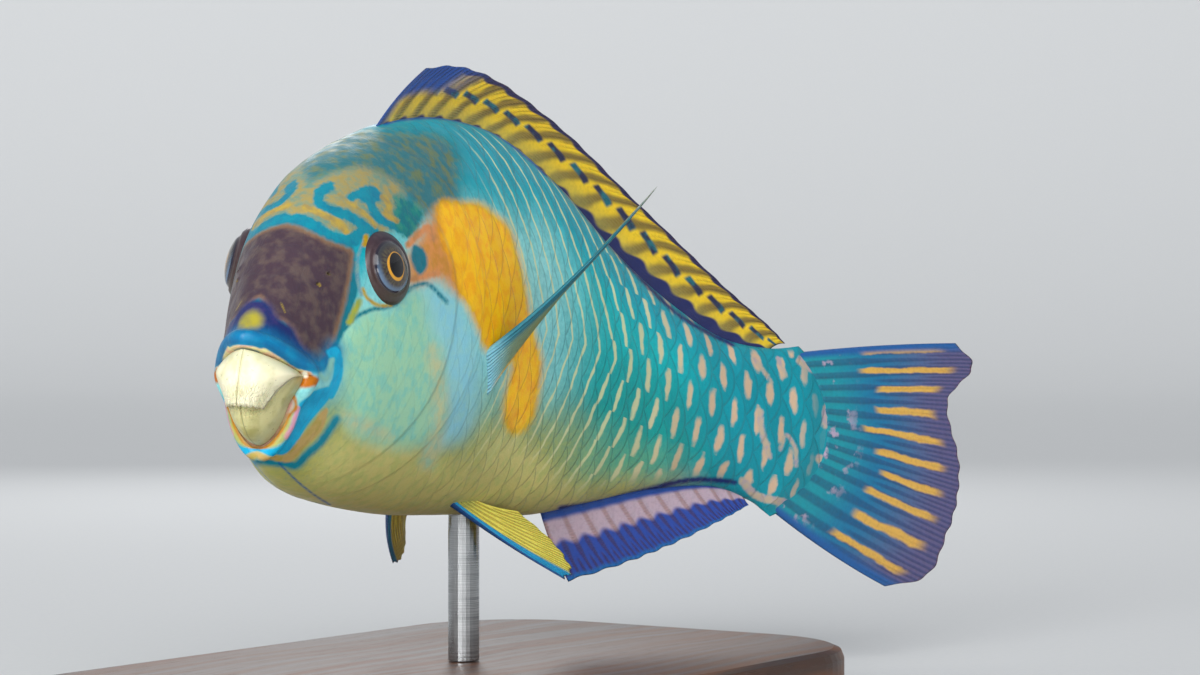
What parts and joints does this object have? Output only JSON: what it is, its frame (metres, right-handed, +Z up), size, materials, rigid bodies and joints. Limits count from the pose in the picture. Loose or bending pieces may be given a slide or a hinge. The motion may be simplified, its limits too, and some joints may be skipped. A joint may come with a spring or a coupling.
{
  "type": "parrotfish",
  "caption": "Life-size parrotfish in mid-turn with raised fins and a beak, held by one rod above a flat rounded base.",
  "frame": {"origin": "middle of the underside of the stand's base", "axes": "+Z up; -X the way the head points; -Y the fish's left side, towards the picture's camera"},
  "size_m": [0.2767, 0.12, 0.1452],
  "materials": {
    "scaly_skin": "wet scaly skin, turquoise with salmon dashes",
    "beak_enamel": "cream enamel",
    "eye": "clear wet cornea over a dark dome",
    "fin_membrane": "wet membrane with fine rays",
    "stand_wood": "satin dark walnut",
    "stand_metal": "satin"
  },
  "bodies": {
    "root": {"head": "scaly_skin", "trunk": "scaly_skin", "tail_stem": "scaly_skin", "upper_beak": "beak_enamel", "lower_beak": "beak_enamel", "left_eye": "eye", "right_eye": "eye", "dorsal_fin": "fin_membrane", "anal_fin": "fin_membrane", "tail_fin": "fin_membrane", "left_pectoral_fin": "fin_membrane", "right_pectoral_fin": "fin_membrane", "left_pelvic_fin": "fin_membrane", "right_pelvic_fin": "fin_membrane", "stand_base": "stand_wood", "stand_rod": "stand_metal"}
  },
  "joints": []
}
